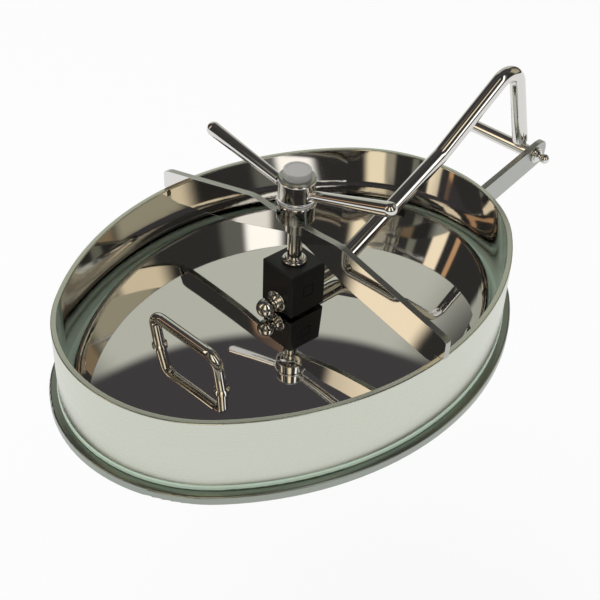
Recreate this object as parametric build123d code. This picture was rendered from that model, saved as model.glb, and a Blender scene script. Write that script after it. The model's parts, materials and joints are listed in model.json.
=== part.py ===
"""Oval inward-opening manway cover for a sanitary tank.

An oval neck ring stands on the gasket of a larger dished lid, which closes it from below.
A bridge across the ring and a nut with two handle rods pull the lid's spindle up against
the ring. The lid hangs on a bent swing arm that turns on a hinge outside the ring.

Units are millimetres. X is the long axis, towards the hinge; Y is the short axis; Z is up.
The origin is the centre of the neck ring's lower face, which is also the spindle's axis.
"""
import os
from math import cos, hypot, radians

from build123d import *

# ---------------------------------------------------------------- driving dimensions
# Neck ring: an oval band of four tangent arcs
neck_length = 440.0
neck_width = 328.0
neck_end_radius = 131.0
neck_height = 64.0
neck_wall = 5.0
rim_edge_radius = 1.0

# Gasket and lid
gasket_height = 5.0
gasket_reveal = 0.8
gasket_edge_radius = 1.2
hoop_reach = 7.5
hoop_width = 9.0
hoop_height = 9.0
hoop_edge_radius = 1.8
lid_sheet = 4.0
plug_gap = 7.0
plug_rise = 14.0
knuckle_radius = 13.0
crown_radius = 2300.0

# Lid handle, a bent bar welded on the lid
handle_bar = 9.5
handle_span = 76.0
handle_rise = 36.0
handle_bend = 11.0
handle_offset = 118.0
handle_lean = 8.0
collar_diameter = 13.0
collar_height = 3.0

# Spindle and the plastic block round its foot
boss_diameter = 30.0
boss_height = 3.0
block_side = 38.0
block_height = 42.0
block_edge_radius = 1.5
block_rim_chamfer = 1.0
badge_side = 11.0
badge_groove = 0.6
spindle_diameter = 14.0
spindle_core_diameter = 26.0
spindle_core_height = 33.0
collar_nut_flats = 20.0
collar_nut_height = 7.0
spindle_top_margin = 4.0
seat_clearance = 0.1

# Bridge across the ring
bridge_thickness = 6.0
bridge_overhang = 1.5
bridge_end_height = 19.0
bridge_shoulder_reach = 60.0
bridge_shoulder_height = 45.0
bridge_waist_reach = 26.0
bridge_waist_height = 42.0
bridge_depth = 34.0
bridge_corner_radius = 8.0
hook_depth = 9.0
hook_clearance = 2.5
hook_length = 9.0
tube_diameter = 20.0
tube_foot = 31.0
cone_height = 9.0
sleeve_diameter = 32.0
sleeve_foot = 50.0
sleeve_height = 16.0
running_clearance = 0.06

# Washer, slip ring and nut with two handle rods
washer_diameter = 34.0
washer_thickness = 1.6
slip_ring_diameter = 29.0
slip_ring_thickness = 1.0
nut_diameter = 32.0
nut_height = 20.0
nut_edge_radius = 1.5
top_ring_diameter = 30.0
top_ring_height = 2.5
cap_diameter = 23.0
cap_height = 7.5
cap_rib_count = 4
cap_rib_depth = 0.5
spot_face_depth = 2.5
rod_diameter = 12.5
rod_neck_diameter = 8.0
rod_neck_length = 6.0
rod_taper_length = 5.0
rod_length = 96.0
rod_rise_angle = 13.0
rod_turn_angle = 5.0
rod_drop = 10.0

# Swing arm, hinge and the two lugs on the ring
arm_bar = 13.0
arm_height = 35.0
arm_turn_angle = -4.0
arm_run = 58.0
arm_knee_reach = 178.0
arm_knee_height = 104.0
arm_top_reach = 264.0
arm_top_height = 175.0
arm_bend = 22.0
arm_knee_bend = 60.0
arm_hairpin_bend = 14.0
spigot_diameter = 11.0
hinge_reach = 294.0
hinge_height = 68.0
hinge_tube_diameter = 13.5
hinge_pin_diameter = 7.0
bush_wall = 1.2
bush_length = 12.0
lug_gap = 64.0
lug_thickness = 6.0
lug_depth_at_ring = 34.0
lug_drop_at_ring = 1.0
lug_end_reach = 18.0
lug_end_above = 10.0
lug_end_below = 18.0
lug_corner_radius = 9.0
tube_end_clearance = 0.4
ball_flange_diameter = 18.0
ball_flange_height = 4.0
ball_neck_diameter = 8.0
ball_neck_length = 8.0
ball_diameter = 14.0
pin_washer_diameter = 17.0
pin_washer_thickness = 2.5
pin_nut_scale = 0.66

# ---------------------------------------------------------------- places worked out from them
rim_z = neck_height
flange_top_z = -gasket_height
hoop_bottom_z = flange_top_z - hoop_height
plug_inset = neck_wall + plug_gap
long_inner = neck_length / 2 - plug_inset
crown_rise = long_inner**2 / (2 * crown_radius)
crown_z = plug_rise + crown_rise
boss_top_z = crown_z + boss_height
block_top_z = boss_top_z + block_height
sleeve_bottom_z = rim_z + sleeve_foot
sleeve_top_z = sleeve_bottom_z + sleeve_height
washer_top_z = sleeve_top_z + washer_thickness
nut_bottom_z = washer_top_z + slip_ring_thickness
nut_top_z = nut_bottom_z + nut_height
cap_bottom_z = nut_top_z + top_ring_height
spindle_top_z = nut_top_z - spindle_top_margin
rod_axis_z = nut_top_z - rod_drop
lug_outer_y = lug_gap / 2 + lug_thickness


# ---------------------------------------------------------------- oval sections
def oval_face(offset, z):
    """The neck's outside oval, moved outwards by offset, as a face at height z."""
    half_x = neck_length / 2 + offset
    half_y = neck_width / 2 + offset
    small = neck_end_radius + offset
    reach = half_x - small
    large = (reach**2 + half_y**2 - small**2) / (2 * (half_y - small))
    drop = large - half_y
    spread = hypot(reach, drop)
    tangent_x = large * reach / spread
    tangent_y = large * drop / spread - drop
    corners = [(-tangent_x, tangent_y), (tangent_x, tangent_y), (tangent_x, -tangent_y), (-tangent_x, -tangent_y)]
    crests = [(0, half_y), (half_x, 0), (0, -half_y), (-half_x, 0)]
    arcs = [ThreePointArc(corners[i], crests[i], corners[(i + 1) % 4]) for i in range(4)]
    return Pos(0, 0, z) * make_face(arcs)


def oval_solid(offset, bottom, top):
    """An oval block between two heights."""
    return extrude(oval_face(offset, bottom), amount=top - bottom, dir=(0, 0, 1))


def oval_ring(outer, inner, bottom, top):
    """An oval band between two offsets and two heights."""
    return oval_solid(outer, bottom, top) - oval_solid(inner, bottom, top)


def edges_at(shape, height):
    """The edges of a shape that lie at one height."""
    return shape.edges().filter_by_position(Axis.Z, height - 0.01, height + 0.01)


def pressed_blank(inset, bottom, crown, radius, knuckle):
    """The lid's pressed form: an oval plug with a spherical crown and a rounded knuckle."""
    plug = oval_solid(-inset, bottom, crown + knuckle)
    ball = Pos(0, 0, crown - radius) * Sphere(radius)
    body = plug & ball
    top_edges = [e for e in body.edges() if e.center().Z > bottom + 1 and abs(e.tangent_at(0.5).Z) < 0.5]
    return fillet(top_edges, knuckle)


def round_bar(points, radii, diameter):
    """A round bar along straight runs joined by tangent bends, in the XZ plane."""
    path = FilletPolyline(*points, radius=radii)
    section = Plane(path @ 0, z_dir=path % 0) * Circle(diameter / 2)
    return sweep(section, path=path)


def turned(profile):
    """A turned piece: a closed profile of (radius, height) points spun about Z."""
    face = make_face(Polyline(*[(r, 0, z) for r, z in profile], close=True))
    return revolve(face, Axis.Z)


def on_hinge(shape):
    """Moves a shape made along Z at the origin onto the hinge's axis, with +Z along -Y."""
    return Pos(hinge_reach, 0, hinge_height) * Rot(90, 0, 0) * shape


# ---------------------------------------------------------------- neck ring and lugs
def neck_ring():
    band = oval_ring(0, -neck_wall, 0, rim_z)
    return fillet(edges_at(band, rim_z), rim_edge_radius)


def lug(side):
    """A flat bar welded on the ring's outside that carries the hinge pin."""
    end_x = hinge_reach + lug_end_reach
    ring_x = neck_length / 2 - neck_end_radius / 2
    outline = [
        (ring_x, rim_z - lug_drop_at_ring - lug_depth_at_ring),
        (end_x - lug_end_reach, hinge_height - lug_end_below),
        (end_x, hinge_height - lug_end_below / 2),
        (end_x, hinge_height + lug_end_above),
        (neck_length / 2, rim_z - lug_drop_at_ring),
        (ring_x, rim_z - lug_drop_at_ring),
    ]
    face = Plane.XZ * make_face(Polyline(*outline, close=True))
    plate = extrude(face, amount=lug_thickness / 2, both=True)
    tips = [e for e in plate.edges().filter_by(Axis.Y) if e.center().X > hinge_reach - 1]
    plate = fillet([e for e in tips if e.center().X > end_x - 1], lug_corner_radius)
    plate = Pos(0, side * (lug_gap + lug_thickness) / 2, 0) * plate
    hole = on_hinge(Cylinder(hinge_pin_diameter / 2 + seat_clearance, 4 * lug_outer_y))
    return plate - oval_solid(0, -1, rim_z + 1) - hole


# ---------------------------------------------------------------- lid, hoop, gasket and handle
def lid_form():
    """The outside of the pressed lid, used to seat what is welded on it."""
    return pressed_blank(plug_inset, flange_top_z - lid_sheet, crown_z, crown_radius, knuckle_radius)


def lid():
    hollow = pressed_blank(
        plug_inset + lid_sheet,
        flange_top_z - 2 * lid_sheet,
        crown_z - lid_sheet,
        crown_radius - lid_sheet,
        knuckle_radius - lid_sheet,
    )
    flange_edge = hoop_reach - hoop_width
    flange = oval_ring(flange_edge, -plug_inset - lid_sheet / 2, flange_top_z - lid_sheet, flange_top_z)
    return lid_form() + flange - hollow


def lid_hoop():
    hoop = oval_ring(hoop_reach, hoop_reach - hoop_width, hoop_bottom_z, flange_top_z)
    rims = [outer_edges(hoop, height) for height in (hoop_bottom_z, flange_top_z)]
    return fillet(rims[0] + rims[1], hoop_edge_radius)


def outer_edges(band, height):
    """The outer of the two edge loops of an oval band at one height."""
    edges = edges_at(band, height)
    long_ones = sorted(edges, key=lambda e: hypot(e.center().X / neck_length, e.center().Y / neck_width))
    return long_ones[len(long_ones) // 2:]


def gasket():
    seal = oval_ring(gasket_reveal, -plug_inset + seat_clearance, flange_top_z, 0)
    return fillet(outer_edges(seal, 0) + outer_edges(seal, flange_top_z), gasket_edge_radius)


def on_lid(shape):
    """Moves a shape made at the handle's foot line, leaning outwards, onto the lid."""
    foot_z = crown_z - handle_offset**2 / (2 * crown_radius)
    return Pos(-handle_offset, 0, foot_z) * Rot(0, -handle_lean, 0) * shape


def lid_handle():
    half = handle_span / 2
    below = knuckle_radius / 2
    points = [(-half, -below), (-half, handle_rise), (half, handle_rise), (half, -below)]
    bar = round_bar([(x, 0, z) for x, z in points], handle_bend, handle_bar)
    return on_lid(Rot(0, 0, 90) * bar) - lid_form()


def handle_collars():
    """The weld collars round the handle's two feet."""
    half = handle_span / 2
    inner = handle_bar / 2 + seat_clearance
    outer = collar_diameter / 2
    ring = turned([(inner, -collar_height), (outer, -collar_height), (outer, collar_height / 2), (inner, collar_height)])
    feet = [on_lid(Pos(0, side * half, 0) * ring) - lid_form() for side in (-1, 1)]
    return Compound(children=[foot.solids().sort_by(Axis.Z)[-1] for foot in feet])


# ---------------------------------------------------------------- block and spindle
def turn_with_arm(shape):
    """The block and the arm share one upright plane, a little off the long axis."""
    return Rot(0, 0, arm_turn_angle) * shape


def spigot_hole(diameter):
    return Pos(0, 0, arm_height) * Rot(0, 90, 0) * Cylinder(diameter / 2, 3 * block_side)


def spindle_boss():
    disc = Pos(0, 0, boss_top_z) * Cylinder(boss_diameter / 2, 2 * boss_height)
    return (disc & Pos(0, 0, boss_top_z - boss_height) * Cylinder(boss_diameter, 2 * boss_height)) - lid_form()


def pivot_block():
    centre_z = boss_top_z + block_height / 2
    body = Pos(0, 0, centre_z) * Box(block_side, block_side, block_height)
    body = fillet(body.edges().filter_by(Axis.Z), block_edge_radius)
    body = chamfer(edges_at(body, block_top_z), block_rim_chamfer)
    core = Pos(0, 0, boss_top_z) * Cylinder(
        spindle_core_diameter / 2 + seat_clearance,
        spindle_core_height + seat_clearance,
        align=(Align.CENTER, Align.CENTER, Align.MIN),
    )
    bore = Pos(0, 0, block_top_z) * Cylinder(spindle_diameter / 2 + seat_clearance, block_height)
    badge = Pos(0, -block_side / 2, centre_z) * (
        Box(badge_side, 2 * badge_groove, badge_side)
        - Box(badge_side - 2 * badge_groove, 4 * badge_groove, badge_side - 2 * badge_groove)
    )
    body = body - core - bore - badge - spigot_hole(spigot_diameter + 2 * seat_clearance)
    return turn_with_arm(body)


def spindle():
    core_top = boss_top_z + spindle_core_height
    shaft = turned([
        (0, boss_top_z),
        (spindle_core_diameter / 2, boss_top_z),
        (spindle_core_diameter / 2, core_top),
        (spindle_diameter / 2, core_top),
        (spindle_diameter / 2, spindle_top_z - 1),
        (spindle_diameter / 2 - 1, spindle_top_z),
        (0, spindle_top_z),
    ])
    return turn_with_arm(shaft - spigot_hole(spigot_diameter + 2 * seat_clearance))


def collar_nut():
    """The hexagon nut that holds the block down on the spindle's core."""
    prism = extrude(RegularPolygon(collar_nut_flats / 2, 6, major_radius=False), amount=collar_nut_height)
    cone_radius = collar_nut_flats / 2 / cos(radians(30))
    cone = turned([
        (0, 0),
        (cone_radius, 0),
        (cone_radius, collar_nut_height - 1),
        (collar_nut_flats / 2, collar_nut_height),
        (0, collar_nut_height),
    ])
    hole = Cylinder(spindle_diameter / 2 + seat_clearance, 4 * collar_nut_height)
    return Pos(0, 0, block_top_z) * ((prism & cone) - hole)


# ---------------------------------------------------------------- bridge
def bridge_outline():
    """Half of the bridge's edge, from the centre line out and back, as (reach, height)."""
    pad = neck_width / 2 + bridge_overhang
    hook = neck_width / 2 - neck_wall - hook_clearance
    waist_rise = bridge_shoulder_height - bridge_waist_height
    top = [
        (0, rim_z + bridge_waist_height + waist_rise),
        (bridge_waist_reach, rim_z + bridge_waist_height),
        (bridge_shoulder_reach, rim_z + bridge_shoulder_height),
        (pad - bridge_corner_radius, rim_z + bridge_end_height),
        (pad, rim_z + bridge_end_height - bridge_corner_radius),
        (pad, rim_z),
    ]
    shoulder_foot = rim_z + bridge_shoulder_height - bridge_depth
    bottom = [
        (hook, rim_z),
        (hook, rim_z - hook_depth),
        (hook - hook_length, rim_z - hook_depth),
        (bridge_shoulder_reach, shoulder_foot),
        (tube_diameter / 2, rim_z + tube_foot),
        (0, rim_z + tube_foot),
    ]
    return top, bottom


def bridge_bar():
    top, bottom = bridge_outline()
    half = Plane.YZ * make_face(Polyline(*(top + bottom), close=True))
    leg = extrude(half, amount=bridge_thickness / 2, both=True)
    ends = [e for e in leg.edges().filter_by(Axis.X) if e.center().Y > neck_width / 2 - bridge_corner_radius]
    ends = [e for e in ends if e.center().Z > rim_z + 1]
    leg = fillet(ends, bridge_corner_radius / 3)
    bar = leg + mirror(leg, about=Plane.XZ)
    return bar - bridge_tube_form()


def bridge_tube_form():
    """The outside of the bridge's tube, cone and sleeve."""
    foot = rim_z + tube_foot
    cone_foot = sleeve_bottom_z - cone_height
    return turned([
        (0, foot),
        (tube_diameter / 2, foot),
        (tube_diameter / 2, cone_foot),
        (sleeve_diameter / 2 - neck_wall / 2, sleeve_bottom_z),
        (sleeve_diameter / 2, sleeve_bottom_z),
        (sleeve_diameter / 2, sleeve_top_z),
        (0, sleeve_top_z),
    ])


def bridge_sleeve():
    bore = Cylinder(spindle_diameter / 2 + running_clearance, 10 * sleeve_height)
    return bridge_tube_form() - Pos(0, 0, sleeve_bottom_z) * bore


# ---------------------------------------------------------------- washer, slip ring and nut
def flat_ring(outer, bottom, thickness):
    """A washer on the spindle."""
    bore = spindle_diameter / 2 + running_clearance
    return turned([
        (bore, bottom),
        (outer / 2, bottom),
        (outer / 2, bottom + thickness),
        (bore, bottom + thickness),
    ])


def rod_places():
    """The two handle rods' places, one on each side of the nut, both rising outwards."""
    for turn in (90 + rod_turn_angle, 270 + rod_turn_angle):
        yield Pos(0, 0, rod_axis_z) * Rot(0, 0, turn) * Rot(0, 90 - rod_rise_angle, 0)


def nut_hub():
    hub = Pos(0, 0, nut_bottom_z + nut_height / 2) * Cylinder(nut_diameter / 2, nut_height)
    hub = fillet(hub.edges().filter_by(GeomType.CIRCLE), nut_edge_radius / 2)
    flat_at = nut_diameter / 2 - spot_face_depth
    for place in rod_places():
        tool = Pos(0, 0, flat_at) * Cylinder(
            rod_diameter / 2 + 1, nut_diameter, align=(Align.CENTER, Align.CENTER, Align.MIN)
        )
        hub = hub - place * tool
    thread = Cylinder(spindle_diameter / 2 + running_clearance, 4 * nut_height)
    return hub - Pos(0, 0, nut_bottom_z) * thread


def nut_top_ring():
    ring = Pos(0, 0, nut_top_z) * Cylinder(
        top_ring_diameter / 2, top_ring_height, align=(Align.CENTER, Align.CENTER, Align.MIN)
    )
    return chamfer(edges_at(ring, cap_bottom_z), top_ring_height / 2)


def nut_cap():
    """The ribbed closing cap on top of the nut."""
    pitch = cap_height / (cap_rib_count + 1)
    outer = cap_diameter / 2
    profile = [(0, 0), (outer, 0)]
    for i in range(cap_rib_count):
        low = pitch * (i + 0.6)
        profile += [(outer, low), (outer - cap_rib_depth, low + pitch * 0.2), (outer, low + pitch * 0.4)]
    profile += [(outer, cap_height - 0.8), (outer - 0.8, cap_height), (0, cap_height)]
    return Pos(0, 0, cap_bottom_z) * turned(profile)


def handle_rod(place):
    """One turned handle rod, with a thin neck at the nut and a round outer end."""
    start = nut_diameter / 2 - spot_face_depth
    neck_end = start + rod_neck_length
    full = neck_end + rod_taper_length
    radius = rod_diameter / 2
    neck = rod_neck_diameter / 2
    shank = turned([(0, start), (neck, start), (neck, neck_end), (radius, full), (radius, rod_length - radius), (0, rod_length - radius)])
    return place * (shank + Pos(0, 0, rod_length - radius) * Sphere(radius))


# ---------------------------------------------------------------- swing arm and hinge
def swing_arm():
    """The bent bar from the block, over the ring and down to the hinge tube."""
    start = block_side / 2 + 2
    turn = radians(arm_turn_angle)
    hinge_run = hinge_reach / cos(turn)
    points = [
        (start, 0, arm_height),
        (arm_run, 0, arm_height),
        (arm_knee_reach, 0, arm_knee_height),
        (arm_top_reach, 0, arm_top_height),
        (hinge_run, 0, hinge_height),
    ]
    bar = round_bar(points, [arm_bend, arm_knee_bend, arm_hairpin_bend], arm_bar)
    spigot_end = block_side / 2 + ball_flange_height + ball_neck_length
    spigot = Pos(-spigot_end, 0, arm_height) * Rot(0, 90, 0) * Cylinder(
        spigot_diameter / 2, spigot_end + start, align=(Align.CENTER, Align.CENTER, Align.MIN)
    )
    stub = Pos(-spigot_end - 1, 0, arm_height) * Box(
        ball_neck_length + 1 + ball_flange_height + 1, arm_bar * 2, arm_bar * 2, align=(Align.MIN, Align.CENTER, Align.CENTER)
    )
    arm = bar + (spigot - stub)
    tube = on_hinge(Cylinder(hinge_tube_diameter / 2, lug_gap))
    return turn_with_arm(arm) - tube


def ball_nut(scale_by=1.0):
    """A round nut with a flange, a neck and a ball end, made along +Z from its seat."""
    flange = Cylinder(ball_flange_diameter / 2, ball_flange_height, align=(Align.CENTER, Align.CENTER, Align.MIN))
    flange = fillet(flange.edges().filter_by(GeomType.CIRCLE), ball_flange_height / 4)
    neck_top = ball_flange_height + ball_neck_length
    neck = Pos(0, 0, ball_flange_height / 2) * Cylinder(
        ball_neck_diameter / 2, neck_top, align=(Align.CENTER, Align.CENTER, Align.MIN)
    )
    ball = Pos(0, 0, neck_top + ball_diameter / 3) * Sphere(ball_diameter / 2)
    return scale(flange + neck + ball, by=scale_by)


def arm_ball_nut():
    seat = Pos(-block_side / 2, 0, arm_height) * Rot(0, -90, 0)
    return turn_with_arm(seat * ball_nut())


def hinge_tube():
    length = lug_gap - 2 * tube_end_clearance
    bore = hinge_pin_diameter / 2 + running_clearance + bush_wall
    return on_hinge(Cylinder(hinge_tube_diameter / 2, length) - Cylinder(bore, 2 * length))


def hinge_bushes():
    """Two plain bushes pressed into the ends of the hinge tube."""
    length = lug_gap - 2 * tube_end_clearance
    inner = hinge_pin_diameter / 2 + running_clearance
    ring = Cylinder(inner + bush_wall, bush_length) - Cylinder(inner, 2 * bush_length)
    places = [side * (length - bush_length) / 2 for side in (-1, 1)]
    return Compound(children=[on_hinge(Pos(0, 0, at) * ring) for at in places])


def hinge_pin():
    return on_hinge(Cylinder(hinge_pin_diameter / 2, 2 * lug_outer_y + 2 * pin_washer_thickness))


def pin_washers():
    """One thick washer on the outside of each lug."""
    ring = Cylinder(pin_washer_diameter / 2, pin_washer_thickness) - Cylinder(
        hinge_pin_diameter / 2 + seat_clearance, 4 * pin_washer_thickness
    )
    at = lug_outer_y + pin_washer_thickness / 2
    return Compound(children=[on_hinge(Pos(0, 0, side * at) * ring) for side in (-1, 1)])


def pin_ball_nut(side):
    nut = ball_nut(pin_nut_scale)
    at = lug_outer_y + pin_washer_thickness
    facing = Rot(0, 0, 0) if side > 0 else Rot(180, 0, 0)
    return on_hinge(Pos(0, 0, side * at) * facing * nut)


# ---------------------------------------------------------------- write one file for each piece
rod_place_near, rod_place_far = list(rod_places())[1], list(rod_places())[0]
pieces = {
    "neck_ring": neck_ring(),
    "lug_near": lug(-1),
    "lug_far": lug(1),
    "hinge_pin": hinge_pin(),
    "pin_washers": pin_washers(),
    "pin_nut_near": pin_ball_nut(1),
    "pin_nut_far": pin_ball_nut(-1),
    "hinge_tube": hinge_tube(),
    "hinge_bushes": hinge_bushes(),
    "swing_arm": swing_arm(),
    "arm_ball_nut": arm_ball_nut(),
    "lid": lid(),
    "lid_hoop": lid_hoop(),
    "gasket": gasket(),
    "lid_handle": lid_handle(),
    "handle_collars": handle_collars(),
    "spindle_boss": spindle_boss(),
    "pivot_block": pivot_block(),
    "spindle": spindle(),
    "collar_nut": collar_nut(),
    "thrust_washer": flat_ring(washer_diameter, sleeve_top_z, washer_thickness),
    "bridge_bar": bridge_bar(),
    "bridge_sleeve": bridge_sleeve(),
    "slip_ring": flat_ring(slip_ring_diameter, washer_top_z, slip_ring_thickness),
    "nut_hub": nut_hub(),
    "nut_top_ring": nut_top_ring(),
    "nut_cap": nut_cap(),
    "handle_rod_near": handle_rod(rod_place_near),
    "handle_rod_far": handle_rod(rod_place_far),
}

os.makedirs("parts", exist_ok=True)
for name, shape in pieces.items():
    export_step(shape, f"parts/{name}.step")
    print(name, len(shape.solids()), "solid(s)")
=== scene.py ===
# %% [markdown]
# # Oval manway cover
# The object is a stainless steel manway for a tank: an oval neck ring, a dished lid that
# closes it from below, and a bridge, nut and swing arm that hold the lid. Its mechanical
# pieces are already modelled as solids, so this notebook loads them as a fixed frame.
# It then adds what they lack: turned and bent pieces in finer detail, weld beads, and
# the finishes.
#
# Blender measures in metres. The pieces below are drawn in millimetres and scaled once at
# the end, because a maker's drawing is in millimetres and whole numbers are easier to
# check against it. X is the long axis, towards the hinge; Y runs along the bridge; Z is up.

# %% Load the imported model
import json
from math import atan2, cos, pi, radians, sin, sqrt, tan

import bmesh
import bpy
from mathutils import Matrix, Vector

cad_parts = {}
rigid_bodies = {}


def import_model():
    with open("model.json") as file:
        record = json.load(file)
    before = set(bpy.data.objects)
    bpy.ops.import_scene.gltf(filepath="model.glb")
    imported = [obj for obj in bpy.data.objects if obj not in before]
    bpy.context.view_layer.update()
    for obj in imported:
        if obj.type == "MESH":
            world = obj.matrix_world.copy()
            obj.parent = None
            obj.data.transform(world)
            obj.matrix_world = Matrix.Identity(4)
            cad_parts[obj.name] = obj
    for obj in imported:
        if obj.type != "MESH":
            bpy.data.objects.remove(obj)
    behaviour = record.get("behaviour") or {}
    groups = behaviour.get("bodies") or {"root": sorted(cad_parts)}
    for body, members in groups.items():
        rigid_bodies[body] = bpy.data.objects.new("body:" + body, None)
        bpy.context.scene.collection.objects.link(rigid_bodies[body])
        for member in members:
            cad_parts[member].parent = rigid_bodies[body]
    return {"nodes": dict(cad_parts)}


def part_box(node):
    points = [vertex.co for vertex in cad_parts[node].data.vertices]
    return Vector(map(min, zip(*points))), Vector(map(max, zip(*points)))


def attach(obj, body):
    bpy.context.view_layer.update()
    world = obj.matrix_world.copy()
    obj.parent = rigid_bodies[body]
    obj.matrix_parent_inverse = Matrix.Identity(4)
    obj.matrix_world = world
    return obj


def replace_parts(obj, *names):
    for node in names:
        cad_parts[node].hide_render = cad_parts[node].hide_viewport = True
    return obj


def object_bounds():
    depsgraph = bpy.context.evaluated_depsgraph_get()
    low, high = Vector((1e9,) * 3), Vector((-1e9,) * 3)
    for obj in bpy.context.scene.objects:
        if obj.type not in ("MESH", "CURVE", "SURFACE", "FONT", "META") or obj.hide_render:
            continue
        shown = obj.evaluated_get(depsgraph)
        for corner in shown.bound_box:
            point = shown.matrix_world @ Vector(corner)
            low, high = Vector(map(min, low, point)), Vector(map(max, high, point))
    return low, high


for leftover in list(bpy.data.objects):
    bpy.data.objects.remove(leftover)
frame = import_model()
cad_box = [list(corner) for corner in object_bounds()]
nodes = frame["nodes"]
MM = 0.001
print(len(nodes), "solids, box", cad_box)

# %% [markdown]
# ## Shader maths
# A finish is worked out from object coordinates, so it stays on the piece when the piece
# moves. Wiring Math nodes one by one works, but a formula of six nodes is then twenty
# lines that hide the formula. A small class that wraps one socket lets ordinary Python
# expressions add the nodes instead: `1 - mask` is a Subtract node. Colours go through a
# Mix node, because a Math node would turn them grey.

# %% A socket that understands + - *
MIX_LOW, MIX_HIGH, MIX_COLOUR = 6, 7, 2


class Wire:
    """One output socket in a node tree, with arithmetic that adds Math nodes."""

    def __init__(self, tree, socket):
        self.tree = tree
        self.socket = socket

    def node(self, kind, settings=None, inputs=None, output=0):
        """Adds any node: its settings first, then the values or links of its sockets."""
        made = self.tree.nodes.new(kind)
        for name, value in (settings or {}).items():
            setattr(made, name, value)
        for name, value in (inputs or {}).items():
            if isinstance(value, Wire):
                self.tree.links.new(value.socket, made.inputs[name])
            else:
                made.inputs[name].default_value = value
        return Wire(self.tree, made.outputs[output])

    def maths(self, operation, *values):
        return self.node("ShaderNodeMath", {"operation": operation}, dict(enumerate(values)))

    def __add__(self, other):
        return self.maths("ADD", self, other)

    def __sub__(self, other):
        return self.maths("SUBTRACT", self, other)

    def __mul__(self, other):
        return self.maths("MULTIPLY", self, other)

    def __rsub__(self, other):
        return self.maths("SUBTRACT", other, self)

    __radd__ = __add__
    __rmul__ = __mul__

    def step(self, start, end):
        """0 below start, 1 above end, and a smooth rise between them."""
        settings = {"interpolation_type": "SMOOTHSTEP", "clamp": True}
        values = {"Value": self, "From Min": start, "From Max": end}
        return self.node("ShaderNodeMapRange", settings, values)

    def band(self, middle, half, soft):
        """1 within half of the middle, and 0 beyond half + soft."""
        offset = self - middle
        away = self.maths("ABSOLUTE", offset)
        return 1 - away.step(half, half + soft)

    def blend(self, low, high):
        """A colour between low and high, by this value."""
        values = {0: self, MIX_LOW: low, MIX_HIGH: high}
        return self.node("ShaderNodeMix", {"data_type": "RGBA"}, values, MIX_COLOUR)

    def axes(self):
        """The three parts of a vector."""
        split = self.node("ShaderNodeSeparateXYZ", inputs={0: self}).socket.node
        return [Wire(self.tree, part) for part in split.outputs]

    def stretched(self, along):
        """These coordinates scaled by a different amount on each axis."""
        return self.node("ShaderNodeMapping", inputs={"Vector": self, "Scale": along})

    def noise(self, size, detail):
        values = {"Vector": self, "Scale": size, "Detail": detail, "Roughness": 0.5}
        return self.node("ShaderNodeTexNoise", inputs=values)


print("sums, bands and blends are ready")

# %% [markdown]
# ## Four small helpers for finishes
# Every finish starts the same way: a Principled shader, a few values that are the same all
# over the piece, and the object coordinates that a pattern is made from. The uniform
# values are set on the sockets themselves, and only what varies is wired in. A height
# pattern goes through a Bump node, which is right for marks far smaller than a mesh face.

# %% A new material and its starting wires
def grey(level, warm=0.0):
    """A nearly neutral colour; warm moves it from blue towards cream."""
    return (level * (1 + warm), level, level * (1 - 1.6 * warm), 1.0)


def new_material(name, **uniform):
    """A Principled material with its uniform values set, its shader and its coordinates."""
    made = bpy.data.materials.new(name)
    made.use_nodes = True
    tree = made.node_tree
    shader = tree.nodes["Principled BSDF"]
    for socket, value in uniform.items():
        shader.inputs[socket.replace("_", " ")].default_value = value
    coordinates = tree.nodes.new("ShaderNodeTexCoord")
    return made, shader, Wire(tree, coordinates.outputs["Object"])


def feed(shader, socket, wire):
    """Links a wire into one of the shader's sockets."""
    wire.tree.links.new(wire.socket, shader.inputs[socket])


def emboss(shader, height, depth):
    """Tilts the surface by a height pattern that is depth metres from low to high."""
    bump = height.node("ShaderNodeBump", inputs={"Height": height, "Distance": depth})
    feed(shader, "Normal", bump)


def dress(material, *names):
    """Gives CAD nodes one material."""
    for name in names:
        nodes[name].data.materials.clear()
        nodes[name].data.materials.append(material)
    print(material.name, "on", ", ".join(names))


print("a finish starts with new_material and ends with dress")

# %% [markdown]
# ## Mirror-polished sheet
# The lid and the bridge are sheet and plate, buffed until they mirror the room. A shader
# with no roughness would do for a looking glass, but this metal was pressed and buffed by
# hand: it is never quite flat, so a very slow swell bends what it reflects, and a faint
# haze of polishing marks breaks the sharpest highlights. Both are noise, one in the height
# and one in the roughness. The colour stays plain, because a metal's look is its
# reflections.
#
# The press also leaves the dish rounder than its drawing, so the mirror images on it are
# small. Rebuilding the dish would move every seat on it. A bowl-shaped height pattern
# tilts the reflections in the same way and leaves the shape alone.

# %% Mirror sheet
POLISHED_COLOUR = grey(0.70, 0.015)


def mirror_sheet(name, swell, bowl_radius=0.0):
    """Buffed sheet: swell and bowl_radius are in metres."""
    made, shader, at = new_material(name, Metallic=1.0, Base_Color=POLISHED_COLOUR)
    haze = at.noise(30.0, 5.0)
    wipes = at.stretched((14.0, 220.0, 60.0)).noise(1.0, 4.0)
    feed(shader, "Roughness", 0.012 + haze * 0.02 + wipes * 0.02)
    height = at.noise(7.0, 1.0) * swell
    if bowl_radius:
        x, y, _ = at.axes()
        height = height - (x * x + y * y) * (0.5 / bowl_radius)
    emboss(shader, height, 1.0)
    return made


lid_mirror = mirror_sheet("lid_mirror", swell=0.00010, bowl_radius=1.4)
plate_mirror = mirror_sheet("plate_mirror", swell=0.00008)
dress(lid_mirror, "lid")

# %% [markdown]
# ## Satin ring
# The neck ring is ground on the outside with a belt that runs round it, which leaves fine
# lines along the wall, and polished inside, where the product splashes. Two materials on
# picked faces would need the mesh to be touched, and the solid's mesh stays as it is. One
# material can tell the side by itself: where the surface faces the same way as the
# direction from the middle, it is outside. Noise that is stretched flat, long in the
# plane of the ring and fine in height, makes the grinding lines.

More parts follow.
